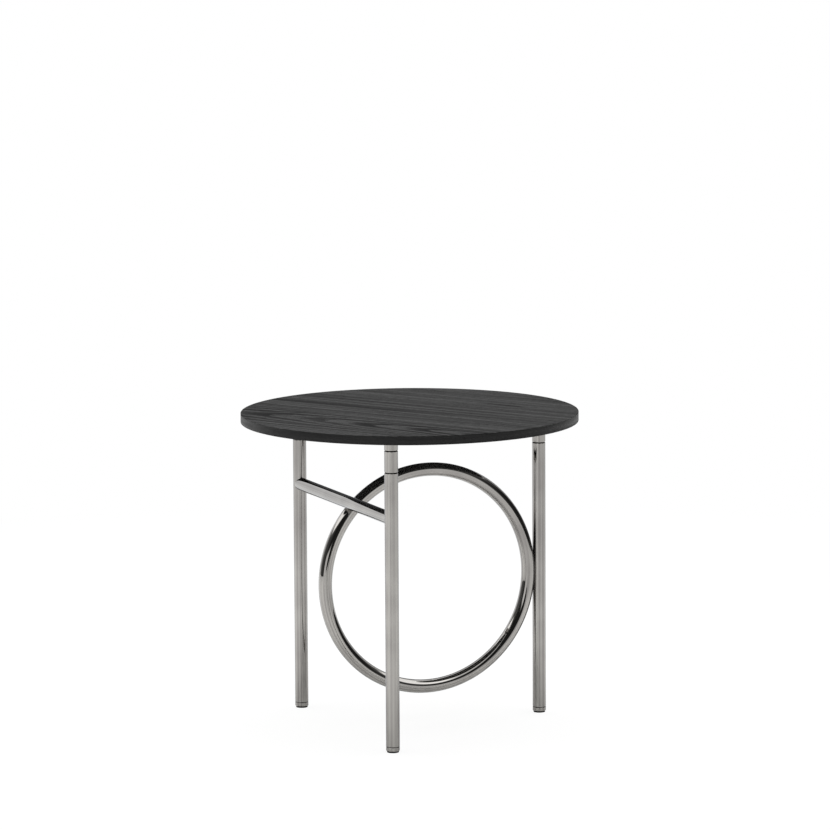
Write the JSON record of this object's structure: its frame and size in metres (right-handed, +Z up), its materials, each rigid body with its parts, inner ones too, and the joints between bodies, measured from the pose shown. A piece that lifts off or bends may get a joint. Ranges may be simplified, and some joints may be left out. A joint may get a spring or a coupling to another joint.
{
  "type": "side table",
  "caption": "Round side table: dark stained veneer top on slim polished tube legs, with a crossbar and a large upright tube ring welded between the legs, on levelling feet.",
  "frame": {"origin": "on the floor, under the middle of the round top", "axes": "+Z up; +X from the middle towards the single leg that the ring touches, so the ring stands in the XZ plane; +Y completes the right-handed frame, towards the rear leg"},
  "size_m": [0.5, 0.5, 0.47],
  "materials": {
    "stained_veneer": "black stained open-grain veneer, matt lacquer",
    "core_board": "raw board",
    "polished_tube": "polished dark nickel plating",
    "zinc_steel": "turned, zinc plated",
    "glide_plastic": "moulded black"
  },
  "bodies": {
    "frame": {"top_core": "core_board", "face_veneer": "stained_veneer", "back_veneer": "stained_veneer", "edge_band": "stained_veneer", "threaded_inserts": "zinc_steel", "grub_screws": "zinc_steel", "crossbar": "polished_tube", "ring": "polished_tube", "rear_collar": "polished_tube", "rear_leg_head": "polished_tube", "rear_leg_tube": "polished_tube", "rear_foot_bush": "zinc_steel", "front_collar": "polished_tube", "front_leg_head": "polished_tube", "front_leg_tube": "polished_tube", "front_foot_bush": "zinc_steel", "right_collar": "polished_tube", "right_leg_head": "polished_tube", "right_leg_tube": "polished_tube", "right_foot_bush": "zinc_steel"},
    "rear_glide": {"rear_glide_pad": "glide_plastic"},
    "rear_levelling_foot": {"rear_foot": "polished_tube"},
    "front_glide": {"front_glide_pad": "glide_plastic"},
    "front_levelling_foot": {"front_foot": "polished_tube"},
    "right_glide": {"right_glide_pad": "glide_plastic"},
    "right_levelling_foot": {"right_foot": "polished_tube"}
  },
  "joints": [
    {"name": "rear_foot_travel", "type": "slide", "parent": "frame", "child": "rear_glide", "axis": [0, 0, -1], "range_m": [0, 0.008]},
    {"name": "rear_foot_turn", "type": "hinge", "parent": "rear_glide", "child": "rear_levelling_foot", "pos_m": [-0.10444, 0.1809, 0.0076], "axis": [0, 0, -1], "range_deg": [0, 2304]},
    {"name": "front_foot_travel", "type": "slide", "parent": "frame", "child": "front_glide", "axis": [0, 0, -1], "range_m": [0, 0.008]},
    {"name": "front_foot_turn", "type": "hinge", "parent": "front_glide", "child": "front_levelling_foot", "pos_m": [-0.10444, -0.1809, 0.0076], "axis": [0, 0, -1], "range_deg": [0, 2304]},
    {"name": "right_foot_travel", "type": "slide", "parent": "frame", "child": "right_glide", "axis": [0, 0, -1], "range_m": [0, 0.008]},
    {"name": "right_foot_turn", "type": "hinge", "parent": "right_glide", "child": "right_levelling_foot", "pos_m": [0.20888, 0, 0.0076], "axis": [0, 0, -1], "range_deg": [0, 2304]}
  ],
  "couplings": [
    {"joint": "rear_foot_travel", "follows": "rear_foot_turn", "m_per_rad": 0.00019894},
    {"joint": "front_foot_travel", "follows": "front_foot_turn", "m_per_rad": 0.00019894},
    {"joint": "right_foot_travel", "follows": "right_foot_turn", "m_per_rad": 0.00019894}
  ]
}
